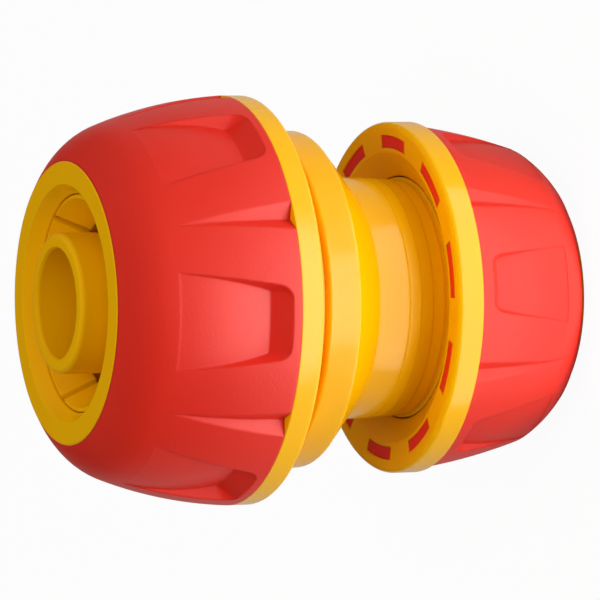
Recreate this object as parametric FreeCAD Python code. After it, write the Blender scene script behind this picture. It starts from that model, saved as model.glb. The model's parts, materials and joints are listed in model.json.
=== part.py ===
import FreeCAD, Part
import math
import os
from FreeCAD import Vector

# Quick hose connector, standing on its socket end with the hose end up.
# All lengths are in millimetres and all angles in degrees.
# A pair (radius, height) is a point of a turned section about the Z axis.

# Heights and lengths of the main steps, from the socket end upwards
height_sleeve_end = 0.75
height_ring_top = 2.2
height_sleeve_face = 17.12
length_neck = 10.33
length_collar = 5.5
length_nut = 19.45
length_rim_band = 2.45
length_tail_proud = 0.9
height_sleeve_red_top = height_sleeve_face - 2.77
height_shoulder = height_sleeve_face - 3.12
height_collar_bottom = height_sleeve_face + length_neck
height_nut_rim = height_collar_bottom + length_collar
height_nut_red_end = height_nut_rim + length_rim_band
height_nut_face = height_nut_rim + length_nut
height_tail_top = height_nut_face + length_tail_proud
height_collar_step = height_nut_rim - 1.95
height_collar_top = height_nut_rim + 1.25

# Radii of the hose end, outwards from the hose tail
radius_tail = 7.1
radius_flow = radius_tail - 1.55
radius_tail_root = radius_tail - 0.25
radius_barb = radius_tail + 0.3
radius_hose_space = radius_tail + 5.1
radius_hub = radius_hose_space + 2.9
radius_collar_seat = radius_hub + 1.5
radius_collar = radius_hub + 2.15
radius_nut_face = radius_hub - 0.8
radius_nut_rim = radius_hub + 5.76

# Radii of the socket end, outwards from the plug's socket
radius_socket = 8.75
radius_seal = radius_socket - 1.5
radius_spigot = radius_socket + 1.05
radius_barrel = radius_socket + 1.65
radius_neck = radius_barrel + 2.03
radius_flange = radius_neck + 5.7

# Clearances between pieces that move on each other
gap_turning = 0.3
gap_sliding = 0.2
gap_guide = 0.15
gap_seat = 0.3
gap_lip = 0.1

# Shallow rings turned into the neck above the sleeve
neck_ring_count = 4
neck_ring_pitch = 1.33
neck_ring_step = 0.07
height_first_ring = height_sleeve_face + 2.78
height_neck_top = height_collar_bottom - 4.25
height_guide_top = height_sleeve_face - 1.7

# Hose tail
barb_count = 3
barb_pitch = 3.6
height_first_barb = height_tail_top - 6.4

# Hose collet
finger_count = 6
finger_slot = 0.8
finger_turn = 4.75
key_count = 4
height_hub_top = height_nut_face - 7.8
height_collet_foot = height_hub_top - 6.1
height_finger_root = height_hub_top - 1.6
height_finger_waist = height_nut_face - 4.9
height_hose_floor = height_collet_foot - 6.7
depth_nut_lip = 1.4
radius_nut_mouth = radius_hose_space - 0.26
radius_nut_lip = radius_hose_space - 1.15
radius_nut_cone = radius_hose_space + 2.0
radius_finger_waist = radius_tail + 1.6
radius_collet_bore = radius_hose_space - 2.0
tooth_count = 2
tooth_depth = 0.4
key_width = 2.6
key_height = 0.9

# Thumb recesses of the soft grips: depths under the grip's surface where the recess fades out,
# halfway and at its deep end, half widths at the deep end and at the fade,
# and the foot and top of the end wall from the grip's wide edge
recess_count = 6
recess_corner = 1.5
recess_draft = 0.5
nut_recess_turn = -6.2
nut_recess_depths = (0.03, 0.52, 1.45)
nut_recess_halves = (3.8, 5.3)
nut_recess_wall = (2.7, 0.8)
sleeve_recess_turn = 4.5
sleeve_recess_depths = (0.03, 0.3, 0.8)
sleeve_recess_halves = (3.1, 4.2)
sleeve_recess_wall = (2.25, 1.25)

# V grooves between the recesses: depth at the wide and the narrow end, half angle of the V
groove_overrun = 0.4
nut_groove_depths = (1.12, -0.1)
nut_groove_angle = 55.0
sleeve_groove_depths = (0.8, 0.02)
sleeve_groove_angle = 58.0

# Windows of the two flanges, filled by pegs of the soft grips
window_count = 10
window_angle = 20.0
nut_window_turn = 12.8
nut_window_depth = 1.55
nut_window_radius = radius_nut_rim - 1.6
sleeve_window_turn = 9.8
sleeve_window_depth = 1.3
sleeve_window_radius = radius_flange - 2.03

# Locking claws, their windows and the ramp of the sleeve that holds them in
claw_count = 3
claw_tip_radius = radius_seal + 0.35
claw_tip_width = 4.6
claw_head_width = 6.0
claw_step_radius = radius_socket + 0.75
height_claw = (3.05, 5.75)
sleeve_travel = 4.0
claw_travel = 1.3
ramp_slope = claw_travel / sleeve_travel
height_lip = (2.6, 6.6)
height_ramp_top = 6.0
radius_lip = radius_barrel + gap_sliding
radius_ramp = radius_barrel + 0.35
radius_front_ring = radius_neck - 0.13
height_spigot = height_ring_top - 1.6
height_seal_lip = 8.2
height_seal_floor = height_seal_lip + 9.4
radius_sleeve_hole = radius_neck + gap_guide

# Return spring
spring_wire = 0.8
spring_mean_radius = radius_barrel + 0.9
spring_turns = 3.5
spring_steps_per_turn = 12
spring_sides = 8
gap_spring = 0.02

axis_z = Vector(0, 0, 1)
centre = Vector(0, 0, 0)


def at(point):
    """Point of a turned section in the XZ plane."""
    radius, height = point
    return Vector(radius, 0, height)


def section(start, *steps):
    """Closed face from points; a step (middle, end) of two points is an arc."""
    edges = []
    here = start
    for step in steps:
        if isinstance(step[0], tuple):
            middle, end = step
            edges.append(Part.Arc(at(here), at(middle), at(end)).toShape())
        else:
            end = step
            edges.append(Part.LineSegment(at(here), at(end)).toShape())
        here = end
    if here != start:
        edges.append(Part.LineSegment(at(here), at(start)).toShape())
    return Part.Face(Part.Wire(edges))


def turned(start, *steps):
    """Solid of revolution about Z of a closed section."""
    return section(start, *steps).revolve(centre, axis_z, 360)


def rounded(before, corner, after, size):
    """Steps of a section that round one corner: the start of the arc, then the arc."""
    arms = []
    for point in (before, after):
        length = math.hypot(point[0] - corner[0], point[1] - corner[1])
        arms.append(((point[0] - corner[0]) / length, (point[1] - corner[1]) / length))
    (ax, ay), (bx, by) = arms
    half = math.acos(ax * bx + ay * by) / 2
    tangent = size / math.tan(half)
    reach = size / math.sin(half) - size
    across = math.hypot(ax + bx, ay + by)
    middle = (corner[0] + (ax + bx) / across * reach, corner[1] + (ay + by) / across * reach)
    start = (corner[0] + ax * tangent, corner[1] + ay * tangent)
    end = (corner[0] + bx * tangent, corner[1] + by * tangent)
    return [start, (middle, end)]


def sector(face, angle):
    """Revolve a section through an angle centred on the +X direction."""
    solid = face.revolve(centre, axis_z, angle)
    solid.rotate(centre, axis_z, -angle / 2)
    return solid


def facing(shape, angle):
    """Turn a shape built towards +X so that it faces an angle counted from the front, -Y."""
    copy = shape.copy()
    copy.rotate(centre, axis_z, angle - 90)
    return copy


def around(shape, count, first_angle):
    """Equal copies of a shape round the axis."""
    return [facing(shape, first_angle + 360 * i / count) for i in range(count)]


def box(x_range, width, z_range):
    """Box towards +X, centred across Y."""
    length = x_range[1] - x_range[0]
    height = z_range[1] - z_range[0]
    return Part.makeBox(length, width, height, Vector(x_range[0], -width / 2, z_range[0]))


def circle_through(first, middle, last):
    """Centre and radius of the circle through three section points."""
    circle = Part.Arc(at(first), at(middle), at(last)).toShape().Curve
    return circle.Center.x, circle.Center.z, circle.Radius


def radius_on(arc_points, height):
    """Radius of a dome at a height, from the arc that makes its outline."""
    centre_radius, centre_height, size = circle_through(*arc_points)
    return centre_radius + math.sqrt(size ** 2 - (height - centre_height) ** 2)


# Outlines of the two soft grips as arcs of (radius, height)
nut_red_length = height_nut_face - height_nut_red_end
nut_flank = (
    (radius_nut_rim, height_nut_red_end),
    (radius_nut_rim - 0.97, height_nut_red_end + 0.395 * nut_red_length),
    (radius_nut_rim - 2.72, height_nut_red_end + 0.738 * nut_red_length),
)
nut_shoulder = (
    nut_flank[2],
    (radius_nut_face + 2.24, height_nut_red_end + 0.895 * nut_red_length),
    (radius_nut_face, height_nut_face - 0.1),
)
sleeve_red_length = height_sleeve_red_top - height_sleeve_end
sleeve_flank = (
    (radius_flange - 0.33, height_sleeve_red_top),
    (radius_flange - 1.36, height_sleeve_end + 0.571 * sleeve_red_length),
    (radius_flange - 2.68, height_sleeve_end + 0.212 * sleeve_red_length),
)
sleeve_shoulder = (
    sleeve_flank[2],
    (radius_flange - 3.77, height_sleeve_end + 0.095 * sleeve_red_length),
    (radius_flange - 5.0, height_sleeve_end),
)


def nut_radius(height):
    """Outer radius of the nut grip at a height."""
    if height > nut_flank[2][1]:
        return radius_on(nut_shoulder, height)
    return radius_on(nut_flank, height)


def sleeve_radius(height):
    """Outer radius of the sleeve grip at a height."""
    if height < sleeve_flank[2][1]:
        return radius_on(sleeve_shoulder, height)
    return radius_on(sleeve_flank, height)


def rounded_trapezoid(radius, deep_height, deep_half, fade_height, fade_half, corner):
    """Wire in the plane x = radius; the two corners at the deep end are rounded."""
    sense = math.copysign(1.0, fade_height - deep_height)
    rise = abs(fade_height - deep_height)
    lean = math.atan2(fade_half - deep_half, rise)
    # Distance from the sharp corner to each end of its arc
    tangent = corner * math.tan((math.pi / 2 - lean) / 2)
    edges = []
    deep_points = []
    for side in (-1, 1):
        sharp = Vector(radius, side * deep_half, deep_height)
        along_end = Vector(0, -side, 0)
        along_side = Vector(0, side * math.sin(lean), sense * math.cos(lean))
        on_end = sharp + along_end * tangent
        on_side = sharp + along_side * tangent
        bisector = (along_end + along_side).normalize()
        reach = math.hypot(corner, tangent)
        middle = sharp + bisector * (reach - corner)
        edges.append(Part.Arc(on_end, middle, on_side).toShape())
        fade = Vector(radius, side * fade_half, fade_height)
        edges.append(Part.LineSegment(on_side, fade).toShape())
        deep_points.append((on_end, fade))
    (end_left, fade_left), (end_right, fade_right) = deep_points
    edges.append(Part.LineSegment(end_left, end_right).toShape())
    edges.append(Part.LineSegment(fade_left, fade_right).toShape())
    return Part.Wire(Part.__sortEdges__(edges))


def recess_floor(surface, fade_height, deep_height, depths):
    """Arc of a recess's floor from its fade to its deep end, at depths under the surface."""
    heights = (fade_height, (fade_height + deep_height) / 2, deep_height)
    return [(surface(height) - depth, height) for height, depth in zip(heights, depths)]


def thumb_recess(floor, wall_top, half_widths, end_height):
    """Cutter of one scooped recess: a turned floor inside a drafted trapezoid."""
    floor_fade, floor_middle, floor_deep = floor
    far = wall_top[0] + 4.0
    rest = [wall_top, (far, wall_top[1]), (far, floor_fade[1])]
    body = sector(section(floor_fade, (floor_middle, floor_deep), *rest), 60)
    deep_half, fade_half = half_widths
    inner_radius = floor_deep[0] - 2.0
    outer_radius = far + 1.0
    sense = math.copysign(1.0, end_height - wall_top[1])

    def outline(radius):
        grow = (radius - wall_top[0]) * recess_draft
        grow_fade = (radius - floor_fade[0]) * recess_draft
        return rounded_trapezoid(
            radius,
            wall_top[1] - sense * grow,
            deep_half + grow,
            end_height,
            fade_half + grow_fade,
            recess_corner,
        )

    mould = Part.makeLoft([outline(inner_radius), outline(outer_radius)], True, True)
    return body.common(mould)


def vee_groove(surface, heights, depths, half_angle):
    """Cutter of one V groove whose depth changes evenly along the grip."""
    start_height, end_height = heights
    start_depth, end_depth = depths
    stations = 5
    wires = []
    for i in range(stations):
        share = i / (stations - 1)
        height = start_height + (end_height - start_height) * share
        bottom = surface(height) - (start_depth + (end_depth - start_depth) * share)
        top = surface(height) + 1.5
        half = (top - bottom) * math.tan(math.radians(half_angle))
        corners = [Vector(bottom, 0, height), Vector(top, half, height), Vector(top, -half, height)]
        wires.append(Part.makePolygon(corners + corners[:1]))
    return Part.makeLoft(wires, True, False)


def windows(radius_middle, depth, z_range, turn):
    """Pegs that fill the windows of a flange, or cut them."""
    inner = radius_middle - depth / 2
    outer = radius_middle + depth / 2
    face = section((inner, z_range[0]), (outer, z_range[0]), (outer, z_range[1]), (inner, z_range[1]))
    return around(sector(face, window_angle), window_count, turn)


def claw_angles():
    """Directions of the locking claws, counted from the front."""
    return [30 + 360 * i / claw_count for i in range(claw_count)]


def tail_outline():
    """Outside of the barbed hose tail from its tip down to the floor of the hose space."""
    tip = (radius_tail, height_tail_top)
    height_plain_end = height_tail_top - 5.0
    points = rounded((radius_flow, height_tail_top), tip, (radius_tail, height_plain_end), 0.5)
    points.append((radius_tail, height_plain_end))
    for i in range(barb_count):
        crest = height_first_barb - i * barb_pitch
        points.append((radius_tail_root, crest + 1.3))
        points.append((radius_barb, crest))
        points.append((radius_barb, crest - 0.3))
        points.append((radius_tail_root, crest - 0.5))
    points.append((radius_tail_root, height_hose_floor + 1.0))
    points.append((radius_tail_root + 1.0, height_hose_floor))
    return points


def neck_outline():
    """Neck through its shallow rings and the guide band of the sleeve down to the spring shoulder."""
    points = [(radius_neck, height_neck_top)]
    radius = radius_neck
    for i in range(neck_ring_count):
        height = height_first_ring - i * neck_ring_pitch
        points.append((radius, height))
        radius -= neck_ring_step
        points.append((radius, height - 0.15))
    points.append((radius, height_guide_top))
    points.append((radius_neck, height_guide_top - 0.1))
    points.append((radius_neck, height_shoulder))
    return points


def snap_outline():
    """Step and snap ridge where the front ring grips the barrel's end."""
    ridge = radius_spigot + 0.2
    points = [(radius_spigot, height_ring_top), (radius_spigot, height_spigot + 0.9)]
    points += [(ridge, height_spigot + 0.7), (ridge, height_spigot + 0.5)]
    points += [(radius_spigot, height_spigot + 0.3), (radius_spigot, height_spigot)]
    return points


def connector_body():
    """Tail, threaded hub, collar, neck and socket barrel, moulded in one piece."""
    outline = tail_outline()
    outline += [(radius_hose_space, height_hose_floor), (radius_hose_space, height_hub_top - 0.4)]
    outline += [(radius_hose_space + 0.4, height_hub_top), (radius_hub - 0.4, height_hub_top)]
    outline += [(radius_hub, height_hub_top - 0.4), (radius_hub, height_collar_top)]
    collar_edge = (radius_collar, height_collar_step)
    collar_end = (radius_collar, height_collar_bottom)
    outline += [(radius_collar_seat, height_collar_top), (radius_collar_seat, height_collar_step)]
    outline += rounded(outline[-1], collar_edge, collar_end, 0.45)
    outline += rounded(collar_edge, collar_end, (radius_neck, height_neck_top), 0.4)
    outline += neck_outline()
    outline += [(radius_barrel, height_shoulder), (radius_barrel, height_ring_top)]
    outline += snap_outline()
    outline += [(radius_socket, height_spigot), (radius_socket, height_seal_lip)]
    outline += [(radius_seal, height_seal_lip + 0.8)]
    outline += [(radius_seal, height_seal_floor), (radius_flow, height_seal_floor + 1.0)]
    outline += [(radius_flow, height_tail_top - 0.3), (radius_flow + 0.15, height_tail_top)]
    body = turned(outline[0], *outline[1:])
    cuts = []
    clear = gap_sliding / 2
    window_z = (height_claw[0] - clear, height_claw[1] + clear)
    for angle in claw_angles():
        tip = box((radius_seal, radius_barrel + 1), claw_tip_width + 2 * clear, window_z)
        cuts.append(facing(tip, angle))
        head = box((claw_step_radius - clear, radius_barrel + 1), claw_head_width + 2 * clear, window_z)
        cuts.append(facing(head, angle))
    keyway_z = (height_collet_foot - gap_seat, height_hub_top + 1)
    keyway_out = radius_hose_space + key_height
    cuts += around(box((radius_hose_space - 1, keyway_out), key_width + 2 * clear, keyway_z), key_count, 0)
    return body.cut(cuts)


def front_ring():
    """Ring snapped on the barrel's end: it closes the socket and stops the sleeve."""
    return turned(
        (radius_socket + 0.55, 0.0),
        (radius_front_ring - 0.3, 0.0),
        (radius_front_ring, 0.3),
        (radius_front_ring, height_ring_top),
        *snap_outline(),
        (radius_socket, height_spigot),
        (radius_socket, 0.55),
    )


def hose_collet():
    """Ring with sprung fingers that bite on the hose when the nut squeezes them."""
    foot_radius = radius_hose_space - gap_turning
    tip_radius = radius_nut_lip - gap_lip
    tip_height = height_nut_face - depth_nut_lip
    points = [(radius_collet_bore, height_collet_foot), (radius_collet_bore, height_finger_root)]
    tooth_pitch = (height_finger_waist - height_finger_root) / tooth_count
    for i in range(tooth_count):
        share = i / tooth_count
        root = radius_collet_bore + (radius_finger_waist + tooth_depth - radius_collet_bore) * share
        height = height_finger_root + tooth_pitch * (i + 0.2)
        points.append((root, height))
        points.append((root - tooth_depth, height + 0.7 * tooth_pitch))
    points.append((radius_finger_waist, height_finger_waist))
    points += [(tip_radius - 0.4, tip_height), (tip_radius, tip_height - 0.15)]
    points.append((tip_radius, tip_height - 0.95))
    cone_foot = radius_nut_cone - gap_turning
    points += [(cone_foot, height_hub_top + 0.8), (cone_foot, height_hub_top + gap_seat)]
    points += [(foot_radius, height_hub_top + gap_seat), (foot_radius, height_collet_foot)]
    ring = turned(points[0], *points[1:])
    key_z = (height_collet_foot, height_finger_root - 1)
    key_reach = radius_hose_space + key_height - gap_sliding
    keys = around(box((foot_radius - 0.5, key_reach), key_width, key_z), key_count, 0)
    ring = ring.fuse(keys)
    slot = box((0, radius_hub), finger_slot, (height_finger_root, height_nut_face))
    return ring.cut(around(slot, finger_count, finger_turn)).removeSplitter()


# Hidden surface where the soft grip is moulded over the nut shell
nut_core = (
    (radius_nut_face, height_nut_face - 0.1),
    (radius_nut_face, height_nut_face - 1.0),
    (radius_nut_face - 0.4, height_nut_face - 1.3),
    (radius_nut_rim - 3.56, height_hub_top - 1.1),
    (radius_nut_rim - 2.66, height_nut_red_end),
    (radius_nut_rim, height_nut_red_end),
)


def nut_shell():
    """Hard nut with its thread bore, collet cone, ring face and rim flange."""
    skirt_radius = radius_collar_seat + gap_turning + 0.1
    bore_radius = radius_hub + gap_turning
    rim_edge = (radius_nut_rim, height_nut_rim)
    skirt_end = (skirt_radius, height_nut_rim)
    shell = turned(
        (radius_nut_mouth, height_nut_face),
        (radius_nut_face - 0.1, height_nut_face),
        *nut_core,
        *rounded(nut_core[-1], rim_edge, skirt_end, 0.35),
        skirt_end,
        (skirt_radius, height_collar_top + gap_seat),
        (bore_radius, height_collar_top + gap_seat),
        (bore_radius, height_hub_top + gap_seat),
        (radius_nut_cone, height_hub_top + 0.7),
        (radius_nut_lip, height_nut_face - depth_nut_lip - 0.7),
        (radius_nut_lip, height_nut_face - depth_nut_lip),
    )
    window_z = (height_nut_rim, height_nut_red_end)
    return shell.cut(windows(nut_window_radius, nut_window_depth, window_z, nut_window_turn))


def nut_grip():
    """Soft grip moulded over the nut: six thumb recesses and six V grooves between them."""
    core = tuple(reversed(nut_core))
    grip = turned(core[0], *core[1:], (nut_shoulder[1], nut_shoulder[0]), (nut_flank[1], nut_flank[0]))
    wall_foot_rise, wall_top_rise = nut_recess_wall
    fade_height = height_nut_red_end + 0.7 * nut_red_length
    deep_height = height_nut_red_end + wall_foot_rise
    floor = recess_floor(nut_radius, fade_height, deep_height, nut_recess_depths)
    wall_top = (radius_nut_rim, height_nut_red_end + wall_top_rise)
    recess = thumb_recess(floor, wall_top, nut_recess_halves, fade_height + 0.6)
    grip = grip.cut(around(recess, recess_count, nut_recess_turn))
    groove_end = height_nut_red_end + 0.776 * nut_red_length
    groove_start = height_nut_red_end - groove_overrun
    groove = vee_groove(nut_radius, (groove_start, groove_end), nut_groove_depths, nut_groove_angle)
    grip = grip.cut(around(groove, recess_count, nut_recess_turn + 180 / recess_count))
    pegs_z = (height_nut_rim + 0.1, height_nut_red_end)
    return grip.fuse(windows(nut_window_radius, nut_window_depth, pegs_z, nut_window_turn))


# Hidden surface where the soft grip is moulded over the sleeve shell
sleeve_core = (
    (radius_flange - 0.33, height_sleeve_red_top),
    (radius_flange - 3.23, height_sleeve_red_top),
    (radius_flange - 3.73, height_sleeve_end + 0.5 * sleeve_red_length),
    (radius_sleeve_hole + 0.7, height_sleeve_end + 1.4),
    (radius_sleeve_hole, height_sleeve_end + 1.4),
)


def sleeve_shell():
    """Hard release sleeve: dished flange, funnel, guide hole, spring lip and claw ramp."""
    ramp_bottom = radius_ramp + (height_ramp_top - height_lip[0]) * ramp_slope
    mouth = (radius_flange - 3.11, height_sleeve_face - 0.4)
    flange_edge = (radius_flange, height_sleeve_face)
    shell = turned(
        (radius_sleeve_hole, height_sleeve_face - 1.8),
        mouth,
        *rounded(mouth, flange_edge, (radius_flange, height_sleeve_red_top), 0.5),
        (radius_flange, height_sleeve_red_top),
        *sleeve_core,
        (radius_sleeve_hole, height_lip[0]),
        (ramp_bottom, height_lip[0]),
        (radius_ramp, height_ramp_top),
        (radius_lip, height_ramp_top),
        (radius_lip, height_lip[1]),
        (radius_sleeve_hole, height_lip[1]),
    )
    window_z = (height_sleeve_red_top, height_sleeve_face + 0.5)
    return shell.cut(windows(sleeve_window_radius, sleeve_window_depth, window_z, sleeve_window_turn))


def sleeve_grip():
    """Soft grip moulded over the sleeve, with pegs that fill the windows of the flange."""
    core = tuple(reversed(sleeve_core))
    bottom = (radius_sleeve_hole, height_sleeve_end)
    grip = turned(
        bottom,
        *core,
        (sleeve_flank[1], sleeve_flank[2]),
        (sleeve_shoulder[1], sleeve_shoulder[2]),
    )
    wall_foot_drop, wall_top_drop = sleeve_recess_wall
    fade_height = height_sleeve_end + 0.2 * sleeve_red_length
    edge_radius = sleeve_flank[0][0]
    deep_height = height_sleeve_red_top - wall_foot_drop
    floor = recess_floor(sleeve_radius, fade_height, deep_height, sleeve_recess_depths)
    wall_top = (edge_radius, height_sleeve_red_top - wall_top_drop)
    recess = thumb_recess(floor, wall_top, sleeve_recess_halves, fade_height - 0.4)
    grip = grip.cut(around(recess, recess_count, sleeve_recess_turn))
    groove_end = height_sleeve_end + 0.16 * sleeve_red_length
    groove_start = height_sleeve_red_top + groove_overrun
    heights = (groove_start, groove_end)
    groove = vee_groove(sleeve_radius, heights, sleeve_groove_depths, sleeve_groove_angle)
    grip = grip.cut(around(groove, recess_count, sleeve_recess_turn + 180 / recess_count))
    pegs_z = (height_sleeve_red_top, height_sleeve_face - 0.35)
    return grip.fuse(windows(sleeve_window_radius, sleeve_window_depth, pegs_z, sleeve_window_turn))


def locking_claw(angle):
    """Claw in its barrel window: the tip grips the plug, the head slopes like the ramp."""
    low, high = height_claw
    ramp_radius = radius_ramp - 0.12
    head_low = ramp_radius + (height_ramp_top - low) * ramp_slope
    head_high = ramp_radius + (height_ramp_top - high) * ramp_slope
    tip = sector(section((claw_tip_radius, low + 1.1), (claw_tip_radius, high - 0.5),
                         (claw_tip_radius + 0.6, high), (claw_step_radius + 0.1, high),
                         (claw_step_radius + 0.1, low), (claw_tip_radius + 1.0, low)), 50)
    tip = tip.common(box((0, radius_front_ring), claw_tip_width, height_claw))
    head = sector(section((claw_step_radius, low), (head_low, low), (head_high, high),
                          (claw_step_radius, high)), 60)
    head = head.common(box((claw_step_radius, radius_front_ring), claw_head_width, height_claw))
    return facing(tip.fuse(head).removeSplitter(), angle)


def return_spring():
    """Steel spring between the neck's shoulder and the sleeve's lip."""
    bottom = height_lip[1] + spring_wire / 2 + gap_spring
    rise = height_shoulder - spring_wire / 2 - gap_spring - bottom
    steps = round(spring_turns * spring_steps_per_turn)
    rings = []
    for i in range(steps + 1):
        turn = 2 * math.pi * spring_turns * i / steps
        outward = Vector(math.cos(turn), math.sin(turn), 0)
        middle = outward * spring_mean_radius + axis_z * (bottom + rise * i / steps)
        corners = []
        for k in range(spring_sides):
            lean = 2 * math.pi * k / spring_sides
            offset = outward * math.cos(lean) + axis_z * math.sin(lean)
            corners.append(middle + offset * (spring_wire / 2))
        rings.append(Part.makePolygon(corners + corners[:1]))
    return Part.makeLoft(rings, True, True)


def write(name, shape):
    """Write one piece as its own STEP file."""
    shape.exportStep("parts/" + name + ".step")


os.makedirs("parts", exist_ok=True)
write("connector_body", connector_body())
write("front_ring", front_ring())
write("hose_collet", hose_collet())
write("nut_shell", nut_shell())
write("nut_grip", nut_grip())
write("sleeve_shell", sleeve_shell())
write("sleeve_grip", sleeve_grip())
write("return_spring", return_spring())
for number, claw_angle in enumerate(claw_angles(), start=1):
    write("locking_claw_" + str(number), locking_claw(claw_angle))
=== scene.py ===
import json
import math

import bpy
from mathutils import Matrix, Vector


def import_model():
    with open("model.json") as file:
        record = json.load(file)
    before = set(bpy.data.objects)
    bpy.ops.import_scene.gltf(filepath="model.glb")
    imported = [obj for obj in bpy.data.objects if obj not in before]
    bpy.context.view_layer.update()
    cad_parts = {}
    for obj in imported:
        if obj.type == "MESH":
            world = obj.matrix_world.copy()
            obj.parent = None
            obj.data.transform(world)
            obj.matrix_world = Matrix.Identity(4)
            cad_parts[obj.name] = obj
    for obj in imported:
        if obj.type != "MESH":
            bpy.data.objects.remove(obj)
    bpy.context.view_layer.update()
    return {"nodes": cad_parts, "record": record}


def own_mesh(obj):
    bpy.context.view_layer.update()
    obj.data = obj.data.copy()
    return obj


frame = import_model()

MM = 0.001

# Camera, from the photograph's frame of 600 pixels
FRAME_PIXELS = 600
FOCAL_PIXELS = 5080
SENSOR_MM = 36.0
CAMERA_CLIP = (0.05, 5.0)
CAMERA_DISTANCE = 0.5208
CAMERA_TILT = math.radians(23.7)
CAMERA_ROLL = math.radians(-1.07)
AIM_HEIGHT = 0.02653
AIM_SHIFT_DOWN = -0.0001

# Material of each slot: grain scale and strength, radius of the softened edges, two close colours
# and the scale of the drift between them, and the shader's own values
FINISHES = {
    "yellow_plastic": {
        "name": "yellow_plastic",
        "grain": (700, 0.04),
        "edge": 0.25 * MM,
        "colours": ((0.94, 0.465, 0.0), (0.97, 0.49, 0.0)),
        "drift": 90,
        "shader": {"Roughness": 0.17, "Specular IOR Level": 0.25},
    },
    "red_grip": {
        "name": "red_rubber",
        "grain": (3400, 0.18),
        "edge": 0.35 * MM,
        "colours": ((0.74, 0.018, 0.006), (0.79, 0.024, 0.009)),
        "drift": 70,
        "shader": {"Roughness": 0.45, "Specular IOR Level": 0.31},
    },
    "spring_steel": {
        "name": "spring_steel",
        "grain": (1500, 0.1),
        "edge": 0.1 * MM,
        "colours": ((0.55, 0.55, 0.56), (0.62, 0.62, 0.63)),
        "drift": 200,
        "shader": {"Metallic": 1.0, "Roughness": 0.3},
    },
    "claw_plastic": {
        "name": "claw_plastic",
        "grain": (1200, 0.1),
        "edge": 0.15 * MM,
        "colours": ((0.72, 0.72, 0.68), (0.78, 0.78, 0.74)),
        "drift": 90,
        "shader": {"Roughness": 0.4},
    },
}
GRAIN_DETAIL = 3.0
GRAIN_HEIGHT = 0.1 * MM
EDGE_SAMPLES = 6
DRIFT_RANGE = (0.3, 0.7)

# Floor, and the share of plain white in it for the camera: the rest keeps the shadow
FLOOR_HALF = 3.0
FLOOR_GREY = 0.85
FLOOR_ROUGHNESS = 0.9
FLOOR_WHITE_SHARE = 0.95

# Soft daylight of the studio by side: direction and its level
WORLD_SIDES = (
    ((1, 0, 0), 0.43),
    ((0, 1, 0), 0.38),
    ((0, 0, 1), 0.31),
)

# Cards lying on the floor before the object, facing up: across, depth from the object's axis,
# power, and whether they give diffuse light and show as a gloss. The two kinds lie at their own
# heights, because lamps in one plane hide one another
CARDS = (
    ((-0.018, 0.018), (0.0135, 0.0225), 0.0021, True, False),
    ((-0.03, 0.03), (0.022, 0.05), 0.0056, True, False),
    ((-0.04, 0.04), (0.05, 0.10), 0.037, True, False),
    ((0.03, 0.10), (0.02, 0.10), 0.040, True, False),
    ((-0.10, -0.03), (0.02, 0.10), 0.034, True, False),
    ((-0.05, 0.05), (0.022, 0.055), 0.040, False, True),
    ((-0.034, 0.034), (0.060, 0.072), 0.015, False, True),
    ((-0.08, 0.08), (0.075, 0.20), 0.40, False, True),
)
DIFFUSE_CARD_HEIGHT = 0.0008
GLOSS_CARD_HEIGHT = 0.0014

# Softboxes over the camera's side, not mirrored in the object: place and power
SOFTBOXES = {
    "top_box": ((0.0, -0.30, 0.55), 1.08),
    "side_box": ((0.10, -0.50, 0.25), 0.30),
}
SOFTBOX_SIZE = (0.30, 0.20)
SOFTBOX_AIM = (0, 0, 0.02)


def new_material(name):
    """New node material with its nodes, links and shader."""
    made = bpy.data.materials.new(name)
    made.use_nodes = True
    tree = made.node_tree
    return made, tree.nodes, tree.links, tree.nodes["Principled BSDF"]


def raise_grain(nodes, links, shader, place, finish):
    """Fine moulded grain as bump over softened edges."""
    scale, strength = finish["grain"]
    noise = nodes.new("ShaderNodeTexNoise")
    noise.inputs["Scale"].default_value = scale
    noise.inputs["Detail"].default_value = GRAIN_DETAIL
    bump = nodes.new("ShaderNodeBump")
    bump.inputs["Strength"].default_value = strength
    bump.inputs["Distance"].default_value = GRAIN_HEIGHT
    bevel = nodes.new("ShaderNodeBevel")
    bevel.samples = EDGE_SAMPLES
    bevel.inputs["Radius"].default_value = finish["edge"]
    links.new(place.outputs["Object"], noise.inputs["Vector"])
    links.new(noise.outputs["Fac"], bump.inputs["Height"])
    links.new(bevel.outputs["Normal"], bump.inputs["Normal"])
    links.new(bump.outputs["Normal"], shader.inputs["Normal"])


def drift_colour(nodes, links, shader, place, finish):
    """Slow drift between two close colours, as moulded plastic has."""
    noise = nodes.new("ShaderNodeTexNoise")
    noise.inputs["Scale"].default_value = finish["drift"]
    ramp = nodes.new("ShaderNodeValToRGB")
    for stop, position, colour in zip(ramp.color_ramp.elements, DRIFT_RANGE, finish["colours"]):
        stop.position = position
        stop.color = (*colour, 1)
    links.new(place.outputs["Object"], noise.inputs["Vector"])
    links.new(noise.outputs["Fac"], ramp.inputs["Fac"])
    links.new(ramp.outputs["Color"], shader.inputs["Base Color"])


def finished_material(finish):
    """Material of one finish, with its textures in object space."""
    made, nodes, links, shader = new_material(finish["name"])
    place = nodes.new("ShaderNodeTexCoord")
    raise_grain(nodes, links, shader, place, finish)
    drift_colour(nodes, links, shader, place, finish)
    for socket, value in finish["shader"].items():
        shader.inputs[socket].default_value = value
    return made


def dress_nodes():
    """Each carried-over solid gets the material of its slot."""
    made = {slot: finished_material(finish) for slot, finish in FINISHES.items()}
    for part in frame["record"]["subparts"]:
        for slot in frame["nodes"][part["node"]].material_slots:
            slot.material = made[part["material_slot"]]


def spring_gives():
    """The return spring gets a mesh of its own."""
    spring = frame["nodes"]["return_spring"]
    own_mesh(spring)


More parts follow.
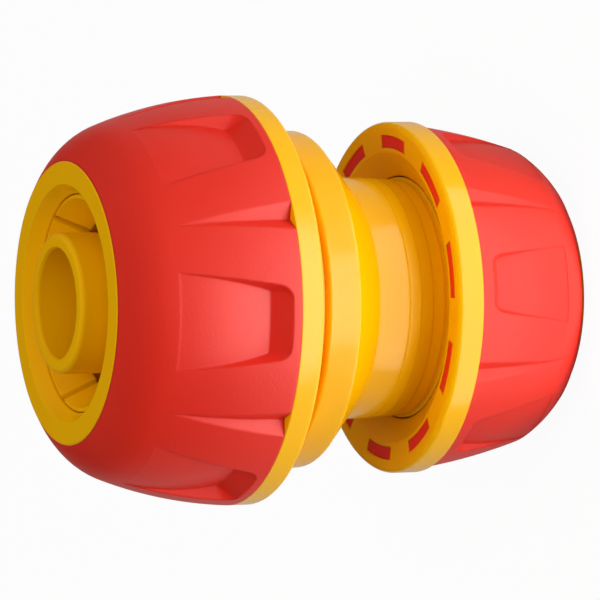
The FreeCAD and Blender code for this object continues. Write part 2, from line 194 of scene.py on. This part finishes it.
def camera():
    """Camera at the photograph's angle: the hose end points left in the picture."""
    data = bpy.data.cameras.new("camera")
    data.sensor_width = SENSOR_MM
    data.lens = SENSOR_MM * FOCAL_PIXELS / FRAME_PIXELS
    data.clip_start, data.clip_end = CAMERA_CLIP
    made = bpy.data.objects.new("camera", data)
    bpy.context.collection.objects.link(made)
    tilt, roll = CAMERA_TILT, CAMERA_ROLL
    # The part's axes in the picture's axes (right, down, away)
    to_socket = Vector((
        math.cos(tilt) * math.cos(roll),
        math.cos(tilt) * math.sin(roll),
        math.sin(tilt),
    ))
    axis_y = to_socket.cross(Vector((0, 1, 0))).normalized()
    axis_x = to_socket.cross(axis_y)
    change = Matrix((axis_x, axis_y, -to_socket))
    right = change @ Vector((1, 0, 0))
    up = change @ Vector((0, -1, 0))
    back = change @ Vector((0, 0, -1))
    offset = change @ Vector((0, -AIM_SHIFT_DOWN, -CAMERA_DISTANCE))
    turn = Matrix((right, up, back)).transposed().to_4x4()
    made.matrix_world = Matrix.Translation(Vector((0, 0, AIM_HEIGHT)) + offset) @ turn
    bpy.context.scene.camera = made


def area_lamp(name, place, target, size, power, diffuse, gloss):
    """Rectangular lamp that the camera doesn't see."""
    data = bpy.data.lights.new(name, "AREA")
    data.shape = "RECTANGLE"
    data.size, data.size_y = size
    data.energy = power
    made = bpy.data.objects.new(name, data)
    bpy.context.collection.objects.link(made)
    made.location = place
    made.rotation_mode = "QUATERNION"
    made.rotation_quaternion = (Vector(target) - Vector(place)).to_track_quat("-Z", "Y")
    made.visible_camera = False
    made.visible_diffuse = diffuse
    made.visible_glossy = gloss


def floor():
    """White floor that keeps the object's shadow."""
    half = FLOOR_HALF
    corners = [(-half, -half, 0), (half, -half, 0), (half, half, 0), (-half, half, 0)]
    mesh = bpy.data.meshes.new("floor")
    mesh.from_pydata(corners, [], [(0, 1, 2, 3)])
    made = bpy.data.objects.new("floor", mesh)
    bpy.context.collection.objects.link(made)
    paint, nodes, links, shader = new_material("floor_white")
    shader.inputs["Base Color"].default_value = (FLOOR_GREY, FLOOR_GREY, FLOOR_GREY, 1)
    shader.inputs["Roughness"].default_value = FLOOR_ROUGHNESS
    shader.inputs["Specular IOR Level"].default_value = 0.0
    # The camera sees mostly plain white, and every other ray a lit floor
    glow = nodes.new("ShaderNodeEmission")
    path = nodes.new("ShaderNodeLightPath")
    share = nodes.new("ShaderNodeMath")
    share.operation = "MULTIPLY"
    share.inputs[1].default_value = FLOOR_WHITE_SHARE
    mix = nodes.new("ShaderNodeMixShader")
    links.new(path.outputs["Is Camera Ray"], share.inputs[0])
    links.new(share.outputs["Value"], mix.inputs["Fac"])
    links.new(shader.outputs["BSDF"], mix.inputs[1])
    links.new(glow.outputs["Emission"], mix.inputs[2])
    links.new(mix.outputs["Shader"], nodes["Material Output"].inputs["Surface"])
    mesh.materials.append(paint)


def world():
    """Daylight that comes more from some sides than from others, without a mirror image."""
    made = bpy.data.worlds.new("studio")
    made.use_nodes = True
    nodes, links = made.node_tree.nodes, made.node_tree.links
    place = nodes.new("ShaderNodeTexCoord")
    total = None
    for direction, level in WORLD_SIDES:
        side = nodes.new("ShaderNodeVectorMath")
        side.operation = "DOT_PRODUCT"
        side.inputs[1].default_value = direction
        facing = nodes.new("ShaderNodeMath")
        facing.operation = "MAXIMUM"
        facing.inputs[1].default_value = 0.0
        add = nodes.new("ShaderNodeMath")
        add.operation = "MULTIPLY_ADD"
        add.inputs[1].default_value = level
        add.inputs[2].default_value = 0.0
        links.new(place.outputs["Generated"], side.inputs[0])
        links.new(side.outputs["Value"], facing.inputs[0])
        links.new(facing.outputs["Value"], add.inputs[0])
        if total:
            links.new(total, add.inputs[2])
        total = add.outputs["Value"]
    links.new(total, nodes["Background"].inputs["Strength"])
    nodes["Background"].inputs["Color"].default_value = (1, 1, 1, 1)
    bpy.context.scene.world = made
    made.cycles_visibility.glossy = False


def lights():
    """Cards on the floor, as the light comes from the picture's right, and two softboxes."""
    for number, (across, depth, power, diffuse, gloss) in enumerate(CARDS):
        height = GLOSS_CARD_HEIGHT if gloss else DIFFUSE_CARD_HEIGHT
        place = (sum(across) / 2, -sum(depth) / 2, height)
        above = (place[0], place[1], 1)
        size = (across[1] - across[0], depth[1] - depth[0])
        area_lamp(f"card_{number}", place, above, size, power, diffuse, gloss)
    for name, (place, power) in SOFTBOXES.items():
        area_lamp(name, place, SOFTBOX_AIM, SOFTBOX_SIZE, power, diffuse=True, gloss=False)


dress_nodes()
spring_gives()
camera()
floor()
world()
lights()
bpy.context.scene.view_settings.view_transform = "Standard"
